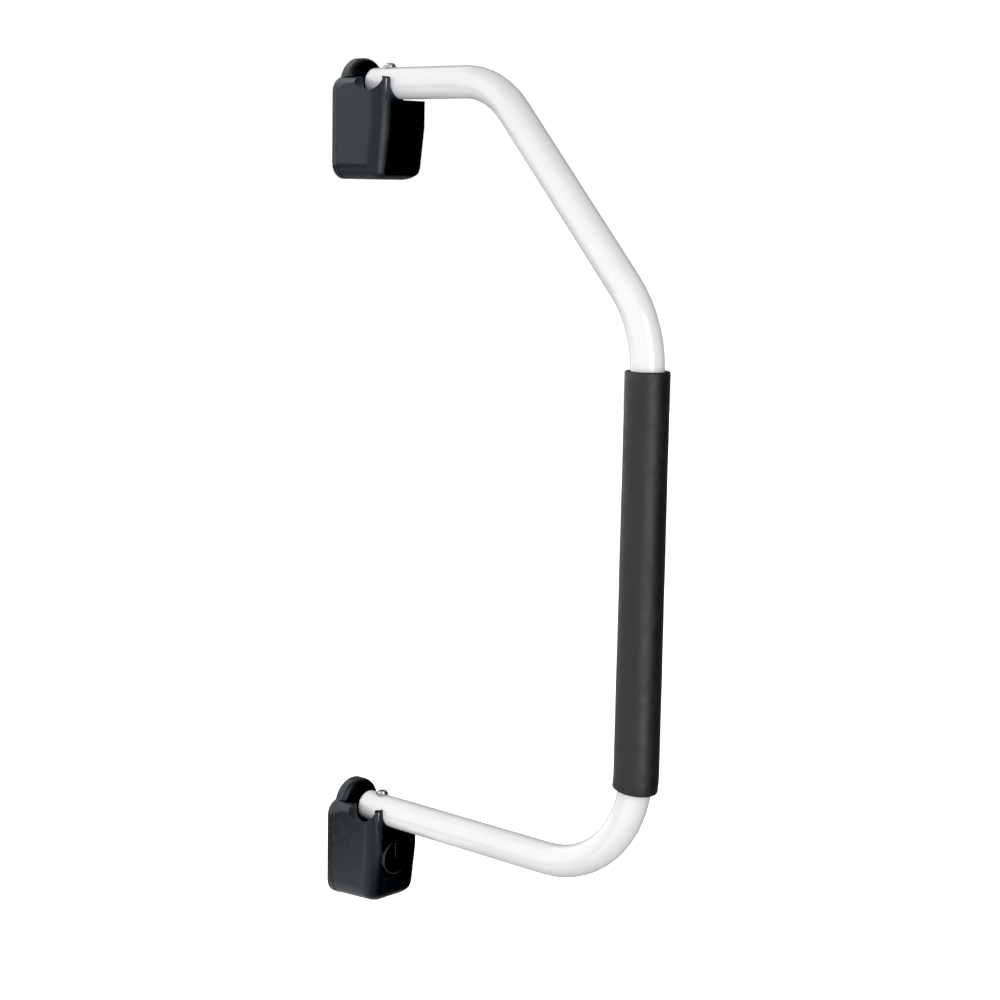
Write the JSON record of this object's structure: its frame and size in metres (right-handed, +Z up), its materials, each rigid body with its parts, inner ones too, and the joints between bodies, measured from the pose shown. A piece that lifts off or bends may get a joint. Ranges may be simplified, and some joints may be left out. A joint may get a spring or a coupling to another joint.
{
  "type": "folding entry assist handrail",
  "caption": "Bent tube handrail with a foam grip, turning on pivot bolts in moulded wall brackets, with a knob-worked lock bolt.",
  "frame": {"origin": "on the lower bracket's wall face, in its mid-plane, level with the axis of the tube's lower arm", "axes": "+Z up, +Y into the wall, +X towards the side the rail folds to"},
  "size_m": [0.069, 0.3838, 0.8235],
  "materials": {
    "white_coat": "smooth white powder coat on steel tube",
    "white_plastic": "moulded, satin",
    "black_nylon": "moulded glass-filled nylon, fine texture",
    "black_foam": "closed-cell foam, matt skin",
    "stainless_steel": "plain",
    "zinc_steel": "bright zinc plate",
    "natural_nylon": "natural, uncoloured",
    "brass": "turned"
  },
  "bodies": {
    "brackets": {"lower_wall_plate": "black_nylon", "lower_housing": "black_nylon", "lower_housing_screw_left": "zinc_steel", "lower_housing_screw_right": "zinc_steel", "lower_thrust_washer": "natural_nylon", "lower_pivot_bush": "brass", "upper_wall_plate": "black_nylon", "upper_housing": "black_nylon", "upper_housing_screw_left": "zinc_steel", "upper_housing_screw_right": "zinc_steel", "upper_thrust_washer": "natural_nylon", "upper_pivot_bush": "brass"},
    "rail": {"rail_tube": "white_coat", "grip_sleeve": "black_foam", "lower_end_cap": "white_plastic", "lower_pivot_bolt": "stainless_steel", "lower_head_washer": "stainless_steel", "lower_disc_spring": "stainless_steel", "lower_lock_nut": "zinc_steel", "upper_end_cap": "white_plastic", "upper_pivot_bolt": "stainless_steel", "upper_head_washer": "stainless_steel", "upper_disc_spring": "stainless_steel", "upper_lock_nut": "zinc_steel"},
    "knob": {"lock_knob": "black_nylon", "lock_crank": "zinc_steel", "lock_crank_screw": "zinc_steel"},
    "bolt": {"lock_bolt": "stainless_steel"}
  },
  "joints": [
    {"name": "rail_swing", "type": "hinge", "parent": "brackets", "child": "rail", "pos_m": [0, -0.042, 0], "axis": [0, 0, 1], "range_deg": [0, 90]},
    {"name": "lock_turn", "type": "hinge", "parent": "brackets", "child": "knob", "pos_m": [0, -0.042, -0.045], "axis": [0, -1, 0], "range_deg": [0, 90]},
    {"name": "lock_slide", "type": "slide", "parent": "brackets", "child": "bolt", "axis": [0, 0, 1], "range_m": [0, 0.008]}
  ],
  "couplings": [
    {"joint": "lock_turn", "follows": "lock_slide", "rad_per_m": 196.3}
  ]
}
